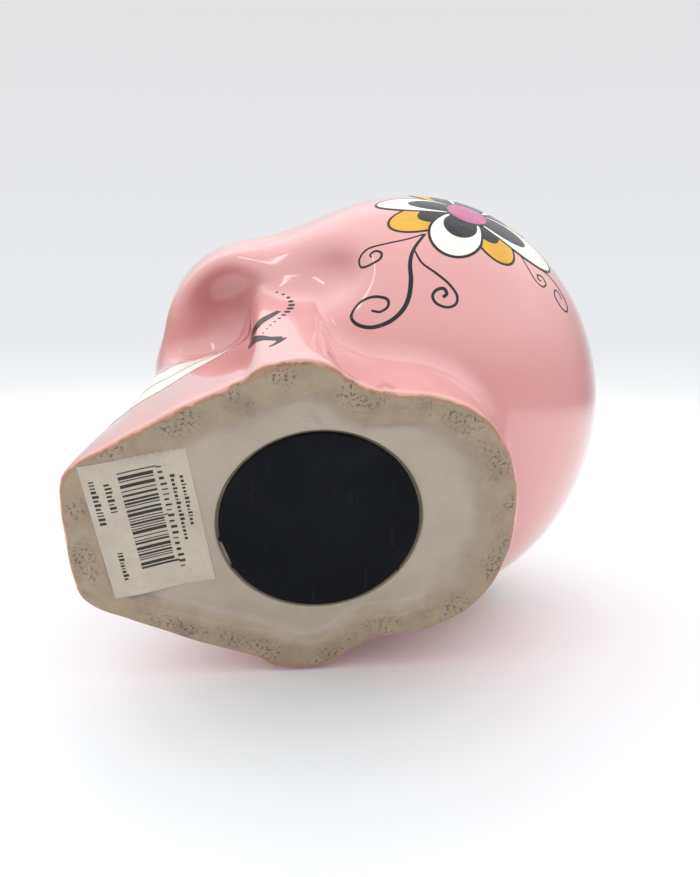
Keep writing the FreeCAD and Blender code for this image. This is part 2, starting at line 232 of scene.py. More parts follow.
def base_height(x, y, radius, rim_at):
    """Underside of the clay: flat rim, soft slope, sunk base and a rolled lip at the seat."""
    inward = rim_at - radius
    height = RECESS_DEPTH * smooth_step((inward - 6.8) / 5.6)
    along, across = on_label(x, y)
    edge = np.minimum(LABEL_HALF[0] + 0.7 - np.abs(along), LABEL_HALF[1] + 0.7 - np.abs(across))
    height = np.maximum(height, label_height(across) * smooth_step(edge / 0.7))
    lip = smooth_step((SEAT_RADIUS + LIP_WIDTH - radius) / LIP_WIDTH)
    return height + (SEAT_DEPTH - height) * lip


COLUMNS = 400
SKIN_ROWS = 150
EDGE_ROUND = 1.4
turns = np.linspace(0, 2 * math.pi, COLUMNS, endpoint=False)
rim = rim_radius(np.minimum(turns, 2 * math.pi - turns), AXIS_CURVE)


def base_ring(radius, height=None):
    radius = np.broadcast_to(radius, turns.shape)
    x, y = radius * np.sin(turns), -radius * np.cos(turns)
    z = base_height(x, y, radius, rim) if height is None else np.full(COLUMNS, height)
    return np.stack([x, y, z], -1)


def shell_rings():
    """Rings of points from the inner end of the hole, over the base and up the skin."""
    rings = [base_ring(HOLE_RADIUS, z) for z in (FLOOR_TOP, 6.5, 5.0, SEAT_DEPTH)]
    rings += [base_ring(HOLE_RADIUS + step, SEAT_DEPTH) for step in (1.0, 2.4, 3.75)]
    lip = SEAT_RADIUS + LIP_WIDTH
    rings += [base_ring(radius) for radius in np.linspace(SEAT_RADIUS, lip, 6)[1:]]
    for share in np.linspace(0, 1, 31)[1:]:
        rings.append(base_ring(lip + (rim - EDGE_ROUND - lip) * (1 - (1 - share) ** 1.2)))
    start = np.arctan2(rim, 75.0 - EDGE_ROUND)
    first = skin_along(skull_form, turns, start)
    low = rings[-1]
    corner = first * (1, 1, 0)
    for quarter in np.linspace(0, math.pi / 2, 7)[1:-1]:
        leg_in, leg_up = (low - corner) * (1 - math.sin(quarter)), (first - corner) * (1 - math.cos(quarter))
        rings.append(corner + leg_in + leg_up)
    for row in range(SKIN_ROWS):
        share = row / SKIN_ROWS
        share = share * (0.74 + 0.26 * share)
        rings.append(skin_along(skull_form, turns, start + (math.pi - start) * share))
    return np.stack(rings)


def hollow_rings():
    """Rings of the inner skin, from the top of the hole to the inner crown."""
    rows = 34
    start = math.atan2(HOLE_RADIUS, 75.0 - FLOOR_TOP)
    tilts = start + (math.pi - start) * np.arange(1, rows) / rows
    return np.stack([skin_along(cavity_form, turns, np.full(COLUMNS, tilt)) for tilt in tilts])


def grown_mesh(name, points, faces, materials=(), face_material=None):
    """A smooth mesh object from points in millimetres about the stopper's axis."""
    mesh = bpy.data.meshes.new(name)
    where = np.asarray(points, float) * MM + (0, axis_y, 0)
    mesh.from_pydata(where.tolist(), [], [list(face) for face in faces])
    for material in materials:
        mesh.materials.append(material)
    if face_material is not None:
        mesh.polygons.foreach_set("material_index", np.asarray(face_material, np.int32))
    mesh.shade_smooth()
    mesh.update()
    piece = bpy.data.objects.new(name, mesh)
    bpy.context.scene.collection.objects.link(piece)
    return piece


def ring_faces(first_row, last_row, flip=False):
    rows = np.arange(first_row, last_row)[:, None] * COLUMNS
    here, there = np.arange(COLUMNS), (np.arange(COLUMNS) + 1) % COLUMNS
    quads = np.stack([rows + here, rows + there, rows + COLUMNS + there, rows + COLUMNS + here], -1)
    return quads.reshape(-1, 4)[:, ::-1 if flip else 1].tolist()


def cut_slot(piece):
    """Saws the coin slot through the crown with a round-ended cutter."""
    radius = SLOT_WIDTH / 2
    reach = SLOT_LENGTH / 2 - radius
    ends = [(reach, math.radians(angle)) for angle in np.linspace(-90, 90, 13)]
    ends += [(-reach, math.radians(angle)) for angle in np.linspace(90, 270, 13)]
    outline = [(x + radius * math.cos(angle), SLOT_Y + radius * math.sin(angle)) for x, angle in ends]
    count = len(outline)
    points = [(x, y, z) for z in (92.0, 150.0) for x, y in outline]
    faces = [list(range(count))[::-1], list(range(count, 2 * count))]
    faces += [[i, (i + 1) % count, count + (i + 1) % count, count + i] for i in range(count)]
    cutter = grown_mesh("slot_cutter", points, faces)
    sawing = piece.modifiers.new("slot", "BOOLEAN")
    sawing.object = cutter
    sawing.solver = "EXACT"
    seen = piece.evaluated_get(bpy.context.evaluated_depsgraph_get())
    sawn = bpy.data.meshes.new_from_object(seen)
    piece.modifiers.clear()
    piece.data = sawn
    bpy.data.objects.remove(cutter)


def slot_distance(points):
    """Distance in plan from the side of the coin slot."""
    reach = SLOT_LENGTH / 2 - SLOT_WIDTH / 2
    along = np.maximum(np.abs(points[:, 0]) - reach, 0)
    return np.hypot(along, points[:, 1] - SLOT_Y) - SLOT_WIDTH / 2


rings = shell_rings()
skin_points = rings.reshape(-1, 3)
crown = skin_along(skull_form, np.zeros(1), np.full(1, math.pi))
lip_drop = 1.5 - np.sqrt(np.maximum(1.5 ** 2 - (1.5 - np.clip(slot_distance(skin_points), 0, 1.5)) ** 2, 0))
skin_points[:, 2] -= np.where(skin_points[:, 2] > 90, lip_drop, 0)
hollow = hollow_rings().reshape(-1, 3)
inner_crown = skin_along(cavity_form, np.zeros(1), np.full(1, math.pi))
outer_count = len(skin_points)
points = np.concatenate([skin_points, crown, hollow, inner_crown])
faces = ring_faces(0, len(rings) - 1)
last = (len(rings) - 1) * COLUMNS
faces += [[last + i, last + (i + 1) % COLUMNS, outer_count] for i in range(COLUMNS)]
first_inner = outer_count + 1
faces += [[(i + 1) % COLUMNS, i, first_inner + i, first_inner + (i + 1) % COLUMNS] for i in range(COLUMNS)]
hollow_count = len(hollow) // COLUMNS
faces += [[first_inner + i for i in face] for face in ring_faces(0, hollow_count - 1, flip=True)]
last = first_inner + (hollow_count - 1) * COLUMNS
faces += [[last + (i + 1) % COLUMNS, last + i, len(points) - 1] for i in range(COLUMNS)]

skull = grown_mesh("skull_shell", points, faces)
cut_slot(skull)


def unit_slope(form, points, step=0.05):
    """Direction in which a form grows fastest at each point."""
    slope = np.zeros_like(points)
    for axis in range(3):
        nudge = np.zeros(3)
        nudge[axis] = step
        slope[:, axis] = form(*(points + nudge).T) - form(*(points - nudge).T)
    return slope / np.maximum(np.linalg.norm(slope, axis=1, keepdims=True), 1e-9)


def mark_shell(piece):
    """Writes how far each point is from the rim, and how deep in a hollow or how sharply turned it is, for
    the glaze's painted shade in hollows and its thinning on sharp turns.
    """
    count = len(piece.data.vertices)
    where = np.zeros(count * 3)
    piece.data.vertices.foreach_get("co", where)
    where = (where.reshape(-1, 3) - (0, axis_y, 0)) / MM
    turn = np.arctan2(where[:, 0], -where[:, 1])
    radius = np.hypot(where[:, 0], where[:, 1])
    inward = rim_radius(np.abs(turn), AXIS_CURVE) - radius
    inside = cavity_form(*where.T) < 1.0
    up = where[:, 2]
    under = (up < 3.9) & (inward > EDGE_ROUND * 0.98) & (up < 0.4 + inward)
    from_rim = np.where(under, -inward, up - 0.35 * EDGE_ROUND)
    from_rim = np.where((radius < SEAT_RADIUS + 0.1) & (up < 8.5), -40.0, from_rim)
    from_rim = np.where(inside & (slot_distance(where) > 1.0), -60.0, from_rim)
    away = unit_slope(skull_form, where)
    # Painted shade: hollows, most of all those on the face, are marked to take a darker pink in place of the
    # shade that falls in them.
    sunk = np.clip(-skull_form(*where.T, hollowed=False) / 8, 0, 1)
    sunk = sunk * (0.2 + 0.8 * smooth_step((-4 - where[:, 1]) / 12))
    turned = np.clip(1.0 - skull_form(*(where + 8 * away).T) / 8, -0.3, 0.15)
    shade_and_glaze_break = sunk + turned
    for name, values in (("from_rim", from_rim), ("shade_and_glaze_break", np.where(up > 4, shade_and_glaze_break, 0))):
        layer = piece.data.attributes.new(name, "FLOAT", "POINT")
        layer.data.foreach_set("value", values.astype(np.float32))


mark_shell(skull)


class Finish:
    """A material's node tree, with short calls for the nodes that its recipe needs."""

    def __init__(self, name):
        self.material = bpy.data.materials.new(name)
        self.material.use_nodes = True
        self.tree = self.material.node_tree
        self.shader = self.tree.nodes["Principled BSDF"]
        self.place = self.tree.nodes.new("ShaderNodeTexCoord").outputs["Object"]

    def node(self, kind, **settings):
        made = self.tree.nodes.new("ShaderNode" + kind)
        for name, value in settings.items():
            setattr(made, name, value)
        return made

    def feed(self, socket, value):
        if isinstance(value, bpy.types.NodeSocket):
            self.tree.links.new(value, socket)
        elif isinstance(value, tuple) and len(value) == 3:
            socket.default_value = (*value, 1) if socket.type == "RGBA" else value
        else:
            socket.default_value = value

    def layer(self, name):
        return self.node("Attribute", attribute_name=name).outputs["Fac"]

    def grain(self, size_mm, detail=3.0, rough=0.55, stretch=(1, 1, 1)):
        """Cloudy noise from 0 to 1 with a feature size in millimetres."""
        mapping = self.node("Mapping")
        self.feed(mapping.inputs["Vector"], self.place)
        mapping.inputs["Scale"].default_value = stretch
        cloud = self.node("TexNoise")
        self.feed(cloud.inputs["Vector"], mapping.outputs[0])
        cloud.inputs["Scale"].default_value = 1000.0 / size_mm
        cloud.inputs["Detail"].default_value = detail
        cloud.inputs["Roughness"].default_value = rough
        return cloud.outputs["Fac"]

    def cells(self, size_mm, feature="F1"):
        cell = self.node("TexVoronoi", feature=feature)
        self.feed(cell.inputs["Vector"], self.place)
        cell.inputs["Scale"].default_value = 1000.0 / size_mm
        return cell.outputs["Distance"]

    def ramp(self, value, low, high, start=0.0, end=1.0):
        """Carries a value from start to end as it passes smoothly from low to high."""
        remap = self.node("MapRange", interpolation_type="SMOOTHSTEP")
        for socket, number in zip(remap.inputs[:5], (value, low, high, start, end)):
            self.feed(socket, number)
        return remap.outputs[0]

    def sum(self, a, b, how="ADD"):
        maths = self.node("Math", operation=how)
        self.feed(maths.inputs[0], a)
        self.feed(maths.inputs[1], b)
        return maths.outputs[0]

    def times(self, a, b):
        return self.sum(a, b, "MULTIPLY")

    def blend(self, amount, under, over):
        mix = self.node("Mix", data_type="RGBA")
        self.feed(mix.inputs["Factor"], amount)
        self.feed(mix.inputs[6], under)
        self.feed(mix.inputs[7], over)
        return mix.outputs[2]

    def bump(self, height, depth_mm, under=None):
        bumped = self.node("Bump")
        bumped.inputs["Strength"].default_value = 1.0
        bumped.inputs["Distance"].default_value = depth_mm * MM
        self.feed(bumped.inputs["Height"], height)
        if under is not None:
            self.feed(bumped.inputs["Normal"], under)
        return bumped.outputs[0]

    def finish(self, **sockets):
        for name, value in sockets.items():
            self.feed(self.shader.inputs[name.replace("_", " ")], value)
        return self.material


def pink_glaze_over_clay():
    """Glossy pink glaze, thin and pale on sharp turns, with shade painted into its hollows as a deeper,
    darker pink, that ends in a scorched line at the wiped base; below the line, bare buff clay with firing
    dirt."""
    f = Finish("pink_glaze_over_clay")
    reach, shade_and_glaze_break = f.layer("from_rim"), f.layer("shade_and_glaze_break")
    drift = f.grain(5.5, 4)
    ragged = f.sum(reach, f.ramp(drift, 0.2, 0.8, -0.55, 0.55))
    glazed = f.ramp(ragged, -0.25, 0.12)
    clouds = f.ramp(f.grain(38, 2), 0.3, 0.7)
    pink = f.blend(clouds, (0.76, 0.335, 0.315), (0.80, 0.37, 0.35))
    # Painted shade: the pink darkens toward a deep red in the hollows.
    pink = f.blend(f.ramp(shade_and_glaze_break, 0.08, 0.85), pink, (0.44, 0.11, 0.098))
    pink = f.blend(f.ramp(shade_and_glaze_break, -0.02, -0.2, 0.0, 0.5), pink, (0.86, 0.46, 0.42))
    pink = f.blend(f.times(f.ramp(ragged, 3.6, 0.4), 0.55), pink, (0.84, 0.40, 0.35))
    pink = f.blend(f.times(f.ramp(f.cells(2.6), 0.07, 0.02), 0.35), pink, (0.50, 0.15, 0.12))
    body = f.blend(f.ramp(f.grain(7, 5), 0.35, 0.7), (0.33, 0.248, 0.150), (0.395, 0.30, 0.187))
    sunk = f.blend(f.ramp(f.grain(16, 3), 0.3, 0.7), (0.395, 0.328, 0.247), (0.46, 0.385, 0.295))
    clay = f.blend(f.ramp(f.sum(reach, f.ramp(drift, 0, 1, -1.2, 1.2)), -6.5, -12.0), body, sunk)
    smudge = f.times(f.ramp(f.grain(9, 4), 0.50, 0.70), f.ramp(reach, -15.0, -4.0, 0.15, 1.0))
    clay = f.blend(f.times(smudge, 0.7), clay, (0.25, 0.18, 0.115))
    grime = f.times(f.ramp(f.grain(0.9, 2, 0.7), 0.54, 0.62), f.ramp(f.grain(12, 3), 0.45, 0.60))
    grime = f.times(grime, f.ramp(reach, -9.5, -3.0))
    clay = f.blend(f.times(grime, 0.85), clay, (0.075, 0.052, 0.035))
    crack = f.times(f.ramp(f.cells(17, "DISTANCE_TO_EDGE"), 0.010, 0.002), f.ramp(f.grain(26, 2), 0.5, 0.6))
    clay = f.blend(f.times(crack, f.ramp(reach, -12, -16, 0.0, 0.35)), clay, (0.30, 0.23, 0.17))
    line = f.times(f.ramp(ragged, -1.5, -0.3), f.ramp(f.grain(3.5, 3), 0.30, 0.55, 0.25, 1.0))
    clay = f.blend(line, clay, (0.43, 0.215, 0.115))
    near_line = f.times(f.ramp(ragged, 1.1, 0.1), 0.65)
    pink = f.blend(near_line, pink, (0.60, 0.27, 0.17))
    colour = f.blend(glazed, clay, pink)
    bare = f.sum(1.0, glazed, "SUBTRACT")
    pitted = f.bump(f.times(f.sum(f.grain(1.3, 4, 0.7), grime, "SUBTRACT"), bare), 0.22)
    flowed = f.bump(f.times(f.grain(19, 2, 0.4), glazed), 0.16, pitted)
    rough = f.ramp(f.grain(11, 3), 0.3, 0.7, 0.06, 0.11)
    rough = f.sum(f.times(rough, glazed), f.times(bare, f.ramp(reach, -12, -5, 0.55, 0.85)))
    return f.finish(Base_Color=colour, Roughness=rough, Normal=flowed, IOR=1.55, Coat_Weight=1.0,
                    Coat_Roughness=0.04)


skull.data.materials.clear()
skull.data.materials.append(pink_glaze_over_clay())
skull.data.shade_smooth()
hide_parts("skull_body")
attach(skull, "bank")

# ------------------------------------------------------------------ flower transfers
# A printed ceramic transfer on each side of the cranium: an eight-petalled flower in white and
# amber, drawn in charcoal, with curling tendrils. Each was slid on wet over the glaze and
# fired on, so it stands a few hundredths proud of it and follows the skin.


def settle(points):
    """Moves points to the nearest skin and gives the direction out of it there."""
    for _ in range(4):
        away = unit_slope(skull_form, points)
        ahead = skull_form(*(points + 0.05 * away).T)
        here = skull_form(*points.T)
        points = points - (here / np.maximum((ahead - here) / 0.05, 0.3))[:, None] * away
    return points, unit_slope(skull_form, points)


class Patch:
    """A spot on the skin with its own flat coordinates: u along the skin backward, v upward."""

    def __init__(self, spot, u_way, v_way=(0, 0, 1)):
        settled, out = settle(np.array([spot], float))
        self.spot, out = settled[0], out[0]
        u_axis = np.array(u_way, float)
        self.u = u_axis - out * (u_axis @ out)
        self.u /= np.linalg.norm(self.u)
        self.v = np.cross(out, self.u)
        if self.v @ np.array(v_way, float) < 0:
            self.v = -self.v

    def walk(self, flat):
        """Points on the skin, reached by walking straight from the spot over the surface."""
        far = np.hypot(flat[:, 0], flat[:, 1])
        way = (flat[:, :1] * self.u + flat[:, 1:] * self.v) / np.maximum(far, 1e-9)[:, None]
        steps = max(2, int(far.max() / 4))
        points = np.repeat(self.spot[None], len(flat), 0)
        for _ in range(steps):
            points, out = settle(points + way * (far / steps)[:, None])
            way = way - (way * out).sum(1, keepdims=True) * out
            way /= np.maximum(np.linalg.norm(way, axis=1, keepdims=True), 1e-9)
        return points, out


class Transfer:
    """Collects thin inked shapes, each closed and a little sunk into the glaze, in one mesh."""

    def __init__(self, patch):
        self.patch = patch
        self.points, self.faces, self.inks = [], [], []
        self.count = 0

    def lay(self, flat, rows, columns, wrap, ink, lift):
        """Lays a grid of flat points on the skin."""
        on_skin, out = self.patch.walk(flat)
        self.close(on_skin, out, rows, columns, wrap, ink, lift)

    def close(self, on_skin, out, rows, columns, wrap, ink, lift):
        """Adds a closed sheet with its top a little above the skin and its underside below it."""
        top, under = on_skin + out * lift, on_skin - out * 0.12
        total = rows * columns
        grid = np.arange(total).reshape(rows, columns)
        nxt = np.roll(grid, -1, 1)
        across = slice(None) if wrap else slice(0, columns - 1)
        quads = np.stack([grid[:-1], nxt[:-1], nxt[1:], grid[1:]], -1)[:, across].reshape(-1, 4)
        faces = np.concatenate([quads, quads[:, ::-1] + total])
        loops = [(grid[-1], nxt[-1])] + ([] if wrap else [(nxt[0], grid[0])])
        for start, end in loops:
            start, end = start[across], end[across]
            faces = np.concatenate([faces, np.stack([start, end, end + total, start + total], -1)])
        if not wrap:
            for edge, flip in ((grid[:, 0], 1), (grid[:, -1], -1)):
                start, end = edge[:-1], edge[1:]
                side = np.stack([start, end, end + total, start + total], -1)
                faces = np.concatenate([faces, side[:, ::flip]])
        self.points.append(np.concatenate([top, under]))
        self.faces.append(faces + self.count)
        self.inks += [ink] * len(faces)
        self.count += 2 * total

    def blob(self, outline, ink, lift, rings=7, middle=None):
        """A filled shape, from its outline and a point inside it."""
        outline = np.asarray(outline, float)
        middle = outline.mean(0) if middle is None else np.asarray(middle, float)
        shares = np.linspace(0.02, 1, rings)
        flat = np.concatenate([middle + (outline - middle) * share for share in shares])
        self.lay(flat, rings, len(outline), True, ink, lift)

    def stroke(self, line, widths, ink, lift, smooth=9):
        """A brushed line through a few points, whose width follows its own few values."""
        line = drawn_curve(line, smooth)
        spread = np.interp(np.linspace(0, 1, len(line)), np.linspace(0, 1, len(widths)), widths)
        along = np.gradient(line, axis=0)
        along /= np.maximum(np.linalg.norm(along, axis=1, keepdims=True), 1e-9)
        side = np.stack([-along[:, 1], along[:, 0]], -1)
        flat = np.stack([line + side * (spread * t / 2)[:, None] for t in (-1, 0, 1)], 1)
        self.lay(flat.reshape(-1, 2), len(line), 3, False, ink, lift)

    def fire_on(self, name, inks, mirrored):
        """Makes the mesh, or its twin on the other side of the head."""
        points = np.concatenate(self.points)
        faces = np.concatenate(self.faces)
        if mirrored:
            points = points * (-1, 1, 1)
            faces = faces[:, ::-1]
        piece = grown_mesh(name, points, faces, inks, self.inks)
        shape = bmesh.new()
        shape.from_mesh(piece.data)
        bmesh.ops.recalc_face_normals(shape, faces=shape.faces)
        shape.to_mesh(piece.data)
        shape.free()
        piece.data.shade_smooth()
        piece.data.set_sharp_from_angle(angle=math.radians(50))
        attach(piece, "bank")
        return piece


def drawn_curve(points, steps):
    """A smooth curve through a few points."""
    p = np.asarray(points, float)
    p = np.concatenate([2 * p[:1] - p[1:2], p, 2 * p[-1:] - p[-2:-1]])
    t = (np.arange(steps) / steps)[:, None]
    spans = []
    for a, b, c, d in zip(p, p[1:], p[2:], p[3:]):
        bend = 2 * b + (c - a) * t + (2 * a - 5 * b + 4 * c - d) * t ** 2
        spans.append(0.5 * (bend + (3 * b - a - 3 * c + d) * t ** 3))
    return np.concatenate(spans + [p[-2:-1]])


def ink_finish(name, colour, second, rough=0.16):
    """Fired enamel ink: even, glossy, with slight clouding and pinholes where the print is thin."""
    f = Finish(name)
    tone = f.blend(f.ramp(f.grain(4.5, 3), 0.3, 0.7), colour, second)
    tone = f.blend(f.times(f.ramp(f.grain(0.7, 2), 0.66, 0.74), 0.3), tone, (0.72, 0.42, 0.38))
    sheen = f.ramp(f.grain(6, 2), 0.3, 0.7, rough * 0.8, rough * 1.25)
    relief = f.bump(f.grain(2.2, 3), 0.03)
    return f.finish(Base_Color=tone, Roughness=sheen, Normal=relief, IOR=1.45, Specular_IOR_Level=0.3)


INKS = [
    ink_finish("charcoal_ink", (0.014, 0.014, 0.018), (0.022, 0.022, 0.027)),
    ink_finish("white_ink", (0.90, 0.89, 0.80), (0.94, 0.94, 0.88)),
    ink_finish("amber_ink", (0.78, 0.39, 0.030), (0.84, 0.46, 0.05)),
    ink_finish("magenta_ink", (0.50, 0.105, 0.25), (0.56, 0.14, 0.29)),
]
CHARCOAL, WHITE, AMBER, MAGENTA = range(4)


def petal_outline(angle, length, half_width, grow=0.0, root=1.5):
    """A round-ended petal: an ellipse at the tip that narrows toward the root."""
    turn = np.linspace(0, 2 * math.pi, 44, endpoint=False)
    middle, reach = 0.60 * length, 0.40 * length + grow
    along = middle + np.where(np.cos(turn) > 0, reach, middle - root) * np.cos(turn)
    wide = (half_width + grow) * np.sin(turn) * np.where(np.cos(turn) > 0, 1, 1 + 0.12 * np.cos(turn))
    c, s = math.cos(angle), math.sin(angle)
    return np.stack([along * c - wide * s, along * s + wide * c], -1)


def disc_outline(centre, radius, squash=1.0, count=32):
    turn = np.linspace(0, 2 * math.pi, count, endpoint=False)
    return np.stack([centre[0] + radius * np.cos(turn), centre[1] + radius * squash * np.sin(turn)], -1)


flower = Transfer(Patch((61.9, 46.2, 60.4), (0, 1, 0)))

# Each petal: degrees round the flower, length, half width
AMBER_PETALS = [(203, 24.8, 5.6), (297, 21.0, 5.6), (25, 24.0, 5.6), (116, 24.0, 5.6)]
WHITE_PETALS = [(168, 25.5, 4.9), (247, 22.3, 7.0), (343, 28.5, 7.0), (72, 25.0, 7.0)]
for petals, ink, level in ((AMBER_PETALS, AMBER, 0.05), (WHITE_PETALS, WHITE, 0.14)):
    for degrees, length, half_width in petals:
        angle = math.radians(degrees)
        flower.blob(petal_outline(angle, length, half_width, 0.75), CHARCOAL, level)
        flower.blob(petal_outline(angle, length, half_width), ink, level + 0.03)
        flower.blob(petal_outline(angle, length * 0.66, half_width * 0.68), CHARCOAL, level + 0.06)
flower.blob(disc_outline((0, 0), 6.6), CHARCOAL, 0.24)
flower.blob(disc_outline((0, 0), 5.9), MAGENTA, 0.27)

TENDRILS = [
    # from the flower down over the temple, closing in the large curl
    ([(-14, -13.5), (-17.5, -19.3), (-18.7, -24), (-18.6, -29.3), (-19.2, -34.3), (-21, -38), (-24.5, -40.7),
      (-29.3, -41.6), (-33.5, -40), (-35.3, -37), (-33, -33.8), (-29, -33), (-25.2, -34.2), (-24.9, -36.4),
      (-27, -37.6), (-29.4, -36.9)], (0.7, 1.0, 1.25, 1.3, 1.2, 1.0, 0.85, 0.8, 0.8, 0.7, 0.6)),
    # forward, closing in the small curl
    ([(-14, -13.5), (-19, -15.4), (-25, -16.3), (-30.3, -16.8), (-33.2, -18.8), (-33, -21.2), (-30.3, -22.3),
      (-27, -21.6), (-26.2, -19.6), (-27.6, -18.3), (-29.3, -18.8), (-29.2, -20)],
     (0.4, 0.55, 0.6, 0.7, 0.7, 0.6)),
    # back off the stem, closing in the middle curl
    ([(-17.3, -19.8), (-15.5, -24), (-11.7, -27.2), (-8.2, -30.1), (-5.9, -33.2), (-6.2, -35.7),
      (-8.6, -36.8), (-11.5, -36), (-12.7, -34), (-11.7, -32.2), (-9.7, -31.6), (-8.8, -33), (-9.8, -34.1)],
     (0.5, 0.7, 0.75, 0.7, 0.8, 0.95, 0.9)),
    # two fine ones behind the flower
    ([(14, -10.5), (16.8, -15.6), (19.4, -19.2), (22.2, -20), (24, -18), (22.9, -15.9), (20.8, -16.4),
      (20.9, -18), (22, -18)], (0.35, 0.45, 0.55, 0.55, 0.5)),
    ([(14, -10.5), (19.6, -12.6), (26.5, -12.4), (31.5, -14.7), (34.2, -18), (33.8, -21), (31, -21.8),
      (28, -19.8), (28.2, -17), (30.3, -16.4), (31.4, -18)], (0.35, 0.5, 0.55, 0.6, 0.55, 0.5)),
]
for line, widths in TENDRILS:
    flower.stroke(line, widths, CHARCOAL, 0.05)
for side, mirrored in (("left", False), ("right", True)):
    flower.fire_on("flower_transfer_" + side, INKS, mirrored)

# ------------------------------------------------------------------ mouth transfers
# The grin: a cream band of two rows of teeth with a scalloped gum line and one long closing
# line, and at each corner of the mouth a pointed black mark with an arc of graded dots on the
# jaw corner. All are fired-on transfers like the flowers.

mouth = Transfer(Patch((43.3, -6.0, 37.0), (0, 1, 0)))
upper_arm = [(-12.2, -12.9), (-10.2, -10.4), (-7.5, -7.7), (-4.7, -4.4), (-1.6, 0.2)]
lower_arm = [(-12.4, -13.2), (-9.9, -15.6), (-7.3, -17.9), (-4.8, -19.5), (-1.8, -20.5)]
mouth.stroke(upper_arm, (3.4, 4.6, 3.3, 2.1, 1.3), CHARCOAL, 0.07)
mouth.stroke(lower_arm, (2.6, 3.8, 2.8, 2.1, 2.8), CHARCOAL, 0.09)
barb = [(-1.4, -20.1), (-2.2, -22.2), (-3.2, -23.9), (-4.6, -25.3)]
mouth.stroke(barb, (2.3, 1.4, 0.8, 0.4), CHARCOAL, 0.08)
dot_arc = [(-1.5, 13.6), (1.0, 10.6), (1.9, 6.6), (1.5, 2.3), (-0.7, -3.4), (-3.6, -9.2), (-5.9, -15.4)]
dot_line = drawn_curve(dot_arc, 12)
dot_steps = np.cumsum(np.r_[0, np.linalg.norm(np.diff(dot_line, axis=0), axis=1)])
DOTS = 13
for number in range(DOTS):
    share = (number / (DOTS - 1)) ** 1.05
    spot = [np.interp(share * dot_steps[-1], dot_steps, dot_line[:, axis]) for axis in (0, 1)]
    size = 0.28 + 0.72 * math.exp(-((share - 0.38) / 0.24) ** 2)
    mouth.blob(disc_outline(spot, size, 0.85, 16), CHARCOAL, 0.06, rings=3)
for side, mirrored in (("left", False), ("right", True)):
    mouth.fire_on("mouth_corner_" + side, INKS, mirrored)


class Grin(Patch):
    """Coordinates round the jaw: degrees from the front, and height."""

    def __init__(self, middle_y):
        self.middle_y = middle_y

    def walk(self, flat):
        turn, height = np.radians(flat[:, 0]), flat[:, 1]
        way = np.stack([np.sin(turn), -np.cos(turn)], -1)
        near, far = np.zeros(len(flat)), np.full(len(flat), 60.0)
        for _ in range(22):
            middle = (near + far) / 2
            inside = skull_form(way[:, 0] * middle, self.middle_y + way[:, 1] * middle, height) < 0
            near, far = np.where(inside, middle, near), np.where(inside, far, middle)
        points = np.stack([way[:, 0] * near, self.middle_y + way[:, 1] * near, height], -1)
        return points, unit_slope(skull_form, points)


MOUTH_CORNER = 87.0
mouth_turn = np.linspace(-MOUTH_CORNER, MOUTH_CORNER, 181)
share = np.abs(mouth_turn) / MOUTH_CORNER
bite = 33.5 + 3.5 * share ** 3
gum = bite + (8.4 + 1.9 * np.abs(np.sin(math.pi * mouth_turn / 16.0)) ** 0.6) * (1 - share ** 7) ** 0.7
lower = bite - 11.8 * (1 - share ** 3.4) ** 0.9
teeth = Transfer(Grin(-17.0))


def band(low, high, ink, lift, count=15):
    """A strip round the jaw between two heights."""
    shares = np.linspace(0, 1, count)[:, None]
    heights = low + (high - low) * shares
    flat = np.stack([np.broadcast_to(mouth_turn, heights.shape), heights], -1).reshape(-1, 2)
    teeth.lay(flat, count, len(mouth_turn), False, ink, lift)


taper = 1 - share ** 8
GUM_LINE, TOOTH_CREAM, BITE_LINE = range(3)
band(lower - 0.30 * taper, gum + 0.55 * taper, GUM_LINE, 0.05)
band(lower, gum, TOOTH_CREAM, 0.08)
band(bite - 0.24 * taper, bite + 0.24 * taper, BITE_LINE, 0.11, 2)
TEETH_INKS = [
    ink_finish("gum_line_ink", (0.30, 0.235, 0.215), (0.40, 0.31, 0.28)),
    ink_finish("tooth_cream_ink", (0.90, 0.87, 0.78), (0.94, 0.915, 0.84), 0.2),
    INKS[CHARCOAL],
]
teeth.fire_on("teeth_transfer", TEETH_INKS, False)

# ------------------------------------------------------------------ face transfers
# The painted front: dark eye sockets ringed with small scallops, a dark nose, and a small
# flower with sprays of dots on the brow, in the same inks as the sides.


def front_patch(x, z):
    """The spot on the face straight ahead of a point inside the head."""
    near, far = np.zeros(1), np.full(1, 80.0)
    for _ in range(24):
        middle = (near + far) / 2
        inside = skull_form(np.full(1, float(x)), -middle, np.full(1, float(z))) < 0
        near, far = np.where(inside, middle, near), np.where(inside, far, middle)
    return Patch((x, -near[0], z), (1, 0, 0))


eye = Transfer(front_patch(20.5, 84.0))
for number in range(14):
    angle = 2 * math.pi * (number + 0.5) / 14
    centre = (11.6 * math.cos(angle), 10.8 * math.sin(angle))
    eye.blob(disc_outline(centre, 3.3, 1.0, 22), CHARCOAL, 0.06, rings=4)
    eye.blob(disc_outline(centre, 2.7, 1.0, 22), WHITE if number % 2 else AMBER, 0.09, rings=4)
eye.blob(disc_outline((0, 0), 11.2, 0.93, 56), CHARCOAL, 0.14, rings=14)
for side, mirrored in (("left", False), ("right", True)):
    eye.fire_on("eye_transfer_" + side, INKS, mirrored)

nose = Transfer(front_patch(4.3, 61.0))
nose.blob(petal_outline(math.radians(248), 9.5, 3.6, 0, -7.5), CHARCOAL, 0.06, rings=9)
for side, mirrored in (("left", False), ("right", True)):
    nose.fire_on("nose_transfer_" + side, INKS, mirrored)

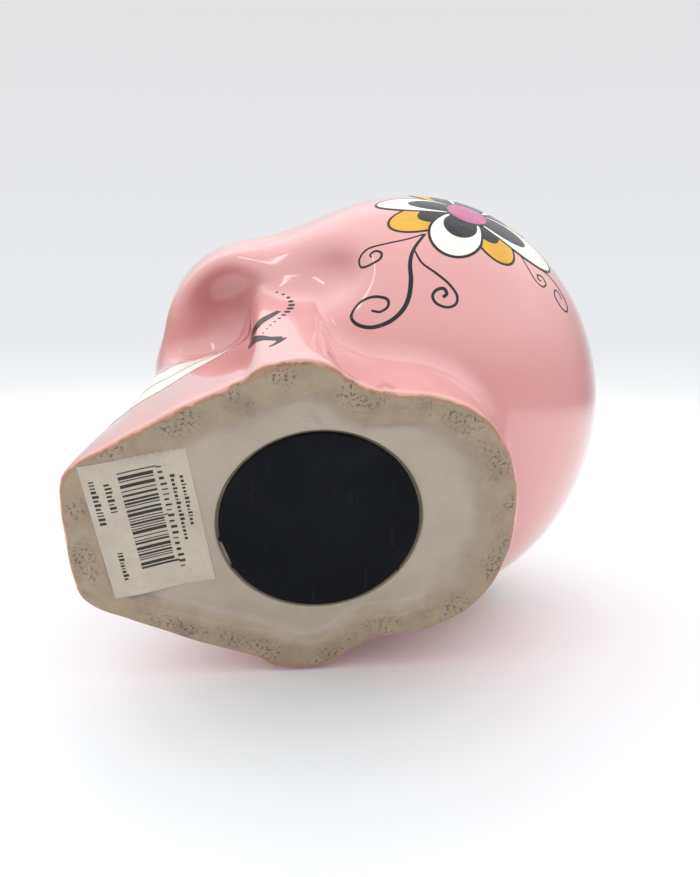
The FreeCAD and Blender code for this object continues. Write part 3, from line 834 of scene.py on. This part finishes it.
brow = Transfer(front_patch(0.0, 106.0))
for number in range(6):
    angle = math.radians(30 + 60 * number)
    brow.blob(petal_outline(angle, 9.0, 3.3, 0.5), CHARCOAL, 0.05 + 0.02 * (number % 2))
    brow.blob(petal_outline(angle, 9.0, 3.3), WHITE if number % 2 else AMBER, 0.10 + 0.02 * (number % 2))
    brow.blob(petal_outline(angle, 5.6, 1.9), CHARCOAL, 0.15)
brow.blob(disc_outline((0, 0), 2.9), CHARCOAL, 0.18, rings=4)
brow.blob(disc_outline((0, 0), 2.4), MAGENTA, 0.21, rings=4)
for sign in (-1, 1):
    spray = drawn_curve([(sign * 12, -1), (sign * 18, -3.2), (sign * 24, -2), (sign * 29, 2)], 8)
    for number in range(8):
        size = 0.95 - 0.085 * number
        brow.blob(disc_outline(spray[number * 3], size, 1.0, 16), CHARCOAL, 0.06, rings=3)
brow.fire_on("brow_transfer", INKS, False)

# ------------------------------------------------------------------ the rubber stopper
# A black soft-rubber bung: a thin disc that lies in the seat, with a hollow tapered plug and
# two sealing ribs behind it. Moulded in one piece and trimmed by hand, so its edge has a
# flat and three small nubs of flash.

DISC_RADIUS = 25.0
DISC_FACE = 1.9
DISC_BACK = 3.4
PLUG_END = 12.9
STOPPER_PROFILE = [
    (0.6, DISC_FACE + 0.10), (4.0, DISC_FACE + 0.10), (12.0, DISC_FACE + 0.06), (19.0, DISC_FACE + 0.02),
    (22.6, DISC_FACE), (23.2, DISC_FACE + 0.05), (23.8, DISC_FACE), (24.55, DISC_FACE + 0.02),
    (24.85, DISC_FACE + 0.16), (DISC_RADIUS, DISC_FACE + 0.48), (DISC_RADIUS, DISC_BACK - 0.2),
    (24.8, DISC_BACK), (21.3, DISC_BACK), (20.84, 3.9), (20.86, 4.5), (21.4, 5.0), (20.82, 5.5),
    (20.78, 6.4), (21.36, 6.9), (20.72, 7.4), (20.6, 8.6), (20.45, 10.6), (20.3, 12.2), (20.0, 12.8),
    (19.4, PLUG_END), (18.4, 12.8), (18.1, 12.2), (18.4, 8.6), (18.6, 4.6), (18.3, 4.1),
    (17.5, DISC_BACK), (9.0, DISC_BACK), (0.6, DISC_BACK),
]
FLAT_ANGLE = math.radians(-107.5)
NUB_ANGLES = [math.radians(angle) for angle in (-97.6, -117.3, 127.0)]


def moulded_stopper():
    sectors = 240
    spin = np.linspace(0, 2 * math.pi, sectors, endpoint=False)
    apart = (spin - FLAT_ANGLE + math.pi) % (2 * math.pi) - math.pi
    trimmed = np.minimum(1, 0.982 / np.cos(np.clip(apart, -0.3, 0.3)))
    nubs = sum(np.exp(-(((spin - a + math.pi) % (2 * math.pi) - math.pi) / 0.017) ** 2) for a in NUB_ANGLES)
    rows = []
    for radius, height in STOPPER_PROFILE:
        edge = radius > 24.0
        reach = radius * trimmed if edge else np.full(sectors, radius)
        reach = reach + (0.55 * nubs if edge else 0)
        rows.append(np.stack([reach * np.cos(spin), reach * np.sin(spin), np.full(sectors, height)], -1))
    count = len(rows)
    grid = np.arange(count * sectors).reshape(count, sectors)
    nxt = np.roll(grid, -1, 1)
    faces = np.stack([grid[:-1], grid[1:], nxt[1:], nxt[:-1]], -1).reshape(-1, 4).tolist()
    faces.append(grid[0].tolist())
    faces.append(grid[-1][::-1].tolist())
    return grown_mesh("stopper_moulding", np.concatenate(rows), faces)


def black_rubber():
    """Matt black rubber with a blue cast, a faint bloom, dust and light scuffs."""
    f = Finish("black_rubber")
    base = f.blend(f.ramp(f.grain(30, 3), 0.3, 0.7), (0.0040, 0.0048, 0.0066), (0.0066, 0.0077, 0.0099))
    bloom = f.times(f.ramp(f.grain(13, 5, 0.65), 0.5, 0.8), 0.28)
    base = f.blend(bloom, base, (0.018, 0.0195, 0.0225))
    dust = f.ramp(f.cells(3.1), 0.045, 0.02)
    base = f.blend(f.times(dust, 0.45), base, (0.14, 0.13, 0.12))
    scuff = f.ramp(f.grain(2.0, 2, 0.5, (0.15, 1, 1)), 0.66, 0.76)
    base = f.blend(f.times(scuff, 0.18), base, (0.05, 0.05, 0.052))
    rough = f.ramp(f.grain(8, 4), 0.3, 0.7, 0.56, 0.70)
    return f.finish(Base_Color=base, Roughness=rough, Normal=f.bump(f.grain(0.5, 3), 0.02), IOR=1.45,
                    Specular_IOR_Level=0.12)


stopper = moulded_stopper()
stopper.data.materials.append(black_rubber())
stopper.data.set_sharp_from_angle(angle=math.radians(60))
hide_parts("rubber_stopper")
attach(stopper, "stopper")

# ------------------------------------------------------------------ the paper label
# A self-adhesive paper label stuck across the chin, dipping from the rim into the sunk base.
# It has a lifted crease at one corner and has yellowed to the colour of the clay.

PAPER = 0.16


def paper_point(along, across):
    """Frame point of the label's outer face at a place on it."""
    c, s = math.cos(LABEL_TURN), math.sin(LABEL_TURN)
    x = LABEL_MIDDLE[0] + along * c - across * s
    y = LABEL_MIDDLE[1] + along * s + across * c
    wrinkle = np.array([noise.noise((a / 5.0, b / 3.2, 4.0)) for a, b in zip(along.ravel(), across.ravel())])
    crease = 0.10 * np.exp(-((along + 0.8 * across + 21.0) / 0.7) ** 2)
    height = label_height(across) - PAPER - 0.035 * wrinkle.reshape(along.shape) - crease
    return np.stack([x, y, np.maximum(height, 0.05)], -1)


def paper_sheet():
    columns, rows = 92, 62
    lengthwise = np.linspace(-1, 1, columns) * LABEL_HALF[0]
    along, across = np.meshgrid(lengthwise, np.linspace(-1, 1, rows) * LABEL_HALF[1])
    low = paper_point(along, across)
    high = low + (0, 0, PAPER - 0.02)
    points = np.concatenate([low.reshape(-1, 3), high.reshape(-1, 3)])
    total = rows * columns
    grid = np.arange(total).reshape(rows, columns)
    quads = np.stack([grid[:-1, :-1], grid[1:, :-1], grid[1:, 1:], grid[:-1, 1:]], -1).reshape(-1, 4)
    faces = [quads, quads[:, ::-1] + total]
    border = np.concatenate([grid[0], grid[1:, -1], grid[-1, -2::-1], grid[-2:0:-1, 0]])
    after = np.roll(border, -1)
    faces.append(np.stack([border, after, after + total, border + total], -1))
    return grown_mesh("paper_label", points, np.concatenate(faces))


def aged_paper():
    """Thin uncoated paper, yellowed, with soft fibres and grubby patches."""
    f = Finish("aged_paper")
    tone = f.blend(f.ramp(f.grain(9, 4), 0.3, 0.7), (0.52, 0.455, 0.37), (0.59, 0.525, 0.43))
    tone = f.blend(f.times(f.ramp(f.grain(3.0, 4), 0.55, 0.75), 0.35), tone, (0.38, 0.31, 0.225))
    fibres = f.grain(0.6, 3, 0.6, (0.4, 1, 1))
    tone = f.blend(f.ramp(fibres, 0.35, 0.7, 0.0, 0.12), tone, (0.70, 0.64, 0.54))
    return f.finish(Base_Color=tone, Roughness=f.ramp(f.grain(5, 2), 0.3, 0.7, 0.42, 0.6),
                    Normal=f.bump(fibres, 0.02), IOR=1.45)


label = paper_sheet()
label.data.materials.append(aged_paper())
label.data.set_sharp_from_angle(angle=math.radians(50))
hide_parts("barcode_label")
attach(label, "bank")

# ------------------------------------------------------------------ the label's printing
# Black thermal print: one block of bars, and rows of plain dashes where a price label has its
# lines of figures. There is no lettering.


def printed_bar(along_from, along_to, across_from, across_to, store):
    """One printed rectangle, following the paper, as a thin closed slip."""
    steps = max(2, int(abs(across_to - across_from) / 0.8) + 1)
    lines = max(2, int(abs(along_to - along_from) / 1.5) + 1)
    lengthwise = np.linspace(along_from, along_to, lines)
    along, across = np.meshgrid(lengthwise, np.linspace(across_from, across_to, steps))
    low = paper_point(along, across) - (0, 0, 0.018)
    grid = np.arange(steps * lines).reshape(steps, lines)
    quads = np.stack([grid[:-1, :-1], grid[1:, :-1], grid[1:, 1:], grid[:-1, 1:]], -1).reshape(-1, 4)
    border = np.concatenate([grid[0], grid[1:, -1], grid[-1, -2::-1], grid[-2:0:-1, 0]])
    after = np.roll(border, -1)
    total = steps * lines
    walls = np.stack([border, after, after + total, border + total], -1)
    base = sum(len(block_points) for block_points, _ in store)
    both = np.concatenate([low.reshape(-1, 3), low.reshape(-1, 3) + (0, 0, 0.03)])
    store.append((both, np.concatenate([quads, quads[:, ::-1] + total, walls]) + base))


def print_on_label():
    rng = np.random.default_rng(12)
    store = []
    place = -11.8
    while place < 15.6:
        width = rng.choice([0.30, 0.30, 0.60, 0.90])
        longer = 1.1 if place < -11 or place > 14.8 or abs(place - 1.9) < 0.5 else 0.0
        printed_bar(place, min(place + width, 15.9), -4.2, 3.9 + longer, store)
        place += width + rng.choice([0.32, 0.45, 0.75])
    # rows of dashes: across, from, to, dash height, gap
    rows_of_print = [
        (5.6, -13.6, 15.0, 1.5, 1.0), (8.0, -6.0, 12.5, 1.1, 0.45), (10.2, -2.0, 11.5, 1.1, 0.45),
        (-10.2, 2.5, 14.5, 1.6, 0.5), (-6.9, 5.5, 13.8, 1.6, 0.5), (-8.3, -14.0, -5.5, 1.3, 0.4),
    ]
    for across, start, end, tall, gap in rows_of_print:
        place = start
        while place < end:
            width = rng.choice([0.35, 0.55, 0.75])
            top = across + tall / 2 - rng.choice([0, 0.35])
            printed_bar(place, place + width, across - tall / 2, top, store)
            place += width + gap
    points = np.concatenate([block_points for block_points, _ in store])
    return grown_mesh("label_print", points, np.concatenate([block_faces for _, block_faces in store]))


def thermal_ink():
    f = Finish("thermal_print")
    worn = f.ramp(f.grain(0.9, 3, 0.7), 0.58, 0.75)
    tone = f.blend(f.times(worn, 0.45), (0.018, 0.017, 0.016), (0.20, 0.17, 0.13))
    return f.finish(Base_Color=tone, Roughness=f.ramp(f.grain(2, 2), 0.3, 0.7, 0.45, 0.6))


label_print = print_on_label()
label_print.data.materials.append(thermal_ink())
label_print.data.shade_flat()
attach(label_print, "bank")

# ------------------------------------------------------------------ floor, light and camera
# The skull lies on its right side on a seamless pale sweep, under the bright ceiling of a white
# room with three soft panels and a narrow window. Upright, it stands on a plain pale floor.

SKULL_UP = Vector((0.955, 0.030, 0.294)).normalized()


def pale_floor(name, middle, up, radius, light, fade):
    """A round floor that fades out toward its edge and is seen only from its upper side."""
    turn = up.to_track_quat("Z", "Y").to_matrix().to_4x4()
    mesh = bpy.data.meshes.new(name)
    shape = bmesh.new()
    bmesh.ops.create_circle(shape, cap_ends=True, segments=96, radius=radius)
    shape.to_mesh(mesh)
    shape.free()
    floor = bpy.data.objects.new(name, mesh)
    floor.matrix_world = Matrix.Translation(middle) @ turn
    bpy.context.scene.collection.objects.link(floor)
    f = Finish(name + "_paper")
    apart = f.node("VectorMath", operation="LENGTH")
    f.feed(apart.inputs[0], f.place)
    seen = f.ramp(apart.outputs["Value"], fade[0], fade[1], 1.0, 0.0)
    seen = f.times(seen, f.sum(1.0, f.node("NewGeometry").outputs["Backfacing"], "SUBTRACT"))
    tone = f.blend(f.ramp(f.grain(220, 2), 0.3, 0.7), light, tuple(0.99 * v for v in light))
    f.finish(Base_Color=tone, Roughness=0.42, Alpha=seen)
    mesh.materials.append(f.material)
    return floor


count = len(skull.data.vertices)
resting = np.zeros(count * 3)
skull.data.vertices.foreach_get("co", resting)
lowest = (resting.reshape(-1, 3) @ np.array(SKULL_UP)).min()
under = Vector((-0.055, 0.0, 0.045))
under += SKULL_UP * (lowest - 0.0004 - under.dot(SKULL_UP))
WHITE_CARD = (0.86, 0.865, 0.875)
sweep = pale_floor("sweep", under, SKULL_UP, 1.4, WHITE_CARD, (0.32, 0.75))
stand = pale_floor("stand", Vector((0, 0, -0.0002)), Vector((0, 0, 1)), 1.4, WHITE_CARD, (0.35, 0.9))
stand.visible_diffuse = False
stand.visible_glossy = False
stand.visible_transmission = False
stand.visible_shadow = False

world = bpy.data.worlds.new("white_room")
bpy.context.scene.world = world
world.use_nodes = True
room = world.node_tree
ray = room.nodes.new("ShaderNodeTexCoord").outputs["Generated"]


def room_node(kind, inputs=(), **settings):
    """A node of the room, with its inputs linked or set by number or name."""
    made = room.nodes.new("ShaderNode" + kind)
    for name, value in settings.items():
        setattr(made, name, value)
    for key, value in inputs:
        if isinstance(value, bpy.types.NodeSocket):
            room.links.new(value, made.inputs[key])
        else:
            made.inputs[key].default_value = value
    return made


def room_shades(height, stops):
    """Shades that change smoothly with height, from straight under (0) to overhead (1)."""
    made = room_node("ValToRGB", [(0, height)])
    made.color_ramp.interpolation = "EASE"
    first, last, *between = stops
    for element, (position, colour) in zip(made.color_ramp.elements, (first, last)):
        element.position, element.color = position, (*colour, 1)
    for position, colour in between:
        made.color_ramp.elements.new(position).color = (*colour, 1)
    return made.outputs[0]


# Height of a ray above the horizon of the sweep, and how far it runs on past the skull
upness = room_node("VectorMath", [(0, ray), (1, SKULL_UP)], operation="DOT_PRODUCT").outputs["Value"]
overhead = room_node("Math", [(0, upness), (1, 0.5), (2, 0.5)], operation="MULTIPLY_ADD").outputs[0]
onward = room_node("VectorMath", [(0, ray), (1, (-0.46, 0.095, 0.883))], operation="DOT_PRODUCT")
behind_skull = room_node(
    "MapRange", [("Value", onward.outputs["Value"]), ("From Min", 0.55), ("From Max", 0.95)],
    interpolation_type="SMOOTHSTEP",
)
glow = room_shades(overhead, [(0.50, (0.16, 0.163, 0.17)), (0.84, (0.97, 0.985, 1.0))])
walls = room_node(
    "Mix", [("Factor", behind_skull.outputs[0]), (6, glow), (7, (0.56, 0.565, 0.575, 1))],
    data_type="RGBA",
)
sky = room.nodes["Background"]
sky.inputs["Strength"].default_value = 1.45
room.links.new(walls.outputs[2], sky.inputs["Color"])
CARD_SHADES = [(0.42, (0.98, 0.99, 1.0)), (0.66, (0.76, 0.76, 0.77)), (0.475, (0.82, 0.83, 0.86))]
card = room_shades(overhead, CARD_SHADES)
backdrop = room_node("Background", [("Color", card)])
looked_at = room_node("LightPath").outputs["Is Camera Ray"]
either = room_node("MixShader", [(0, looked_at), (1, sky.outputs[0]), (2, backdrop.outputs[0])])
room.links.new(either.outputs[0], room.nodes["World Output"].inputs["Surface"])


def soft_light(name, spot, aim, size, power, mirrored=False):
    lamp = bpy.data.lights.new(name, "AREA")
    lamp.shape = "RECTANGLE"
    lamp.size, lamp.size_y = size
    lamp.energy = power
    thing = bpy.data.objects.new(name, lamp)
    thing.location = spot
    way = Vector(aim) - Vector(spot)
    thing.rotation_euler = way.to_track_quat("-Z", "Y").to_euler()
    thing.visible_glossy = mirrored
    bpy.context.scene.collection.objects.link(thing)


MIDDLE = (0.0, 0.0, 0.055)
soft_light("overhead_softbox", (0.78, 0.05, 0.36), MIDDLE, (0.6, 0.8), 0.35)
soft_light("nape_fill", (0.30, 0.55, -0.35), MIDDLE, (0.7, 0.7), 0.35)
soft_light("crown_fill", (0.10, -0.55, 0.75), MIDDLE, (0.8, 0.8), 1.2)
soft_light("window", (0.57, -0.32, 0.06), MIDDLE, (0.025, 0.22), 0.07, True)

camera = bpy.data.objects.new("camera", bpy.data.cameras.new("camera"))
bpy.context.scene.collection.objects.link(camera)
right = Vector((0.0036, 0.9945, -0.1051))
upward = Vector((0.8880, 0.0452, 0.4575))
backward = Vector((0.4597, -0.0949, -0.8830))
turned = Matrix((right, upward, backward)).transposed().to_4x4()
camera.matrix_world = Matrix.Translation((0.1171, -0.0268, -0.1779)) @ turned
camera.data.sensor_fit = "VERTICAL"
camera.data.sensor_width = 36.0
camera.data.sensor_height = 36.0
camera.data.lens = 35.45
camera.data.clip_start = 0.01
bpy.context.scene.camera = camera
bpy.context.scene.view_settings.view_transform = "Standard"
